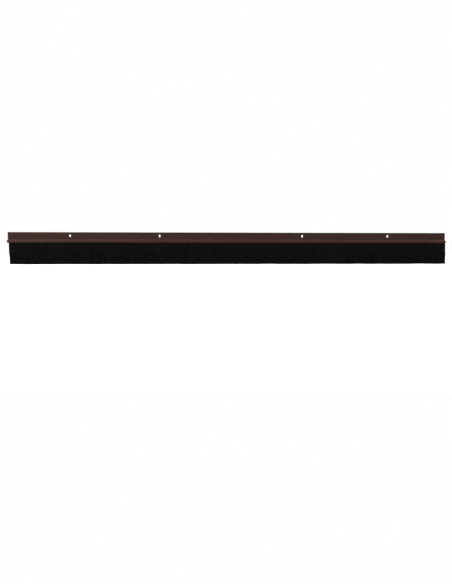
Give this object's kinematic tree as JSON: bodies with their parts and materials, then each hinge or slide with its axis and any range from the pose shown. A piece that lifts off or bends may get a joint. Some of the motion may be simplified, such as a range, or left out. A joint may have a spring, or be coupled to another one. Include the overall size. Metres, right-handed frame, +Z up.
{
  "type": "door sweep",
  "caption": "Brush door sweep: an aluminium carrier with a slotted flange and a C-channel that holds a sliding strip brush with a curtain of flexing filaments.",
  "frame": {"origin": "on the back mounting face, at mid-length, at the height of the screw slots' centres", "axes": "+X along the sweep, to the right as seen from the front; +Y out of the back face, into the door; +Z up"},
  "size_m": [1, 0.0074, 0.072],
  "materials": {
    "bronze_aluminium": "satin dark bronze anodised",
    "galvanised_steel": "satin galvanised",
    "steel_wire": "satin drawn wire",
    "black_filament": "matte packed nylon filaments"
  },
  "bodies": {
    "carrier": {"carrier_profile": "bronze_aluminium"},
    "brush_strip": {"brush_backing": "galvanised_steel", "core_wire": "steel_wire", "bristle_roots": "black_filament"},
    "bristles_1": {"bristle_section_1": "black_filament"},
    "bristles_2": {"bristle_section_2": "black_filament"},
    "bristles_3": {"bristle_section_3": "black_filament"},
    "bristles_4": {"bristle_section_4": "black_filament"},
    "bristles_5": {"bristle_section_5": "black_filament"}
  },
  "joints": [
    {"name": "brush_strip_slide", "type": "slide", "parent": "carrier", "child": "brush_strip", "axis": [1, 0, 0], "range_m": [0, 0.9]},
    {"name": "bristle_flex_1", "type": "hinge", "parent": "brush_strip", "child": "bristles_1", "pos_m": [-0.39733, -0.0037, -0.022], "axis": [1, 0, 0], "range_deg": [-45, 45], "stiffness_Nm_per_rad": 0.15},
    {"name": "bristle_flex_2", "type": "hinge", "parent": "brush_strip", "child": "bristles_2", "pos_m": [-0.19789, -0.0037, -0.022], "axis": [1, 0, 0], "range_deg": [-45, 45], "stiffness_Nm_per_rad": 0.15},
    {"name": "bristle_flex_3", "type": "hinge", "parent": "brush_strip", "child": "bristles_3", "pos_m": [0.00155, -0.0037, -0.022], "axis": [1, 0, 0], "range_deg": [-45, 45], "stiffness_Nm_per_rad": 0.15},
    {"name": "bristle_flex_4", "type": "hinge", "parent": "brush_strip", "child": "bristles_4", "pos_m": [0.20099, -0.0037, -0.022], "axis": [1, 0, 0], "range_deg": [-45, 45], "stiffness_Nm_per_rad": 0.15},
    {"name": "bristle_flex_5", "type": "hinge", "parent": "brush_strip", "child": "bristles_5", "pos_m": [0.40043, -0.0037, -0.022], "axis": [1, 0, 0], "range_deg": [-45, 45], "stiffness_Nm_per_rad": 0.15}
  ]
}
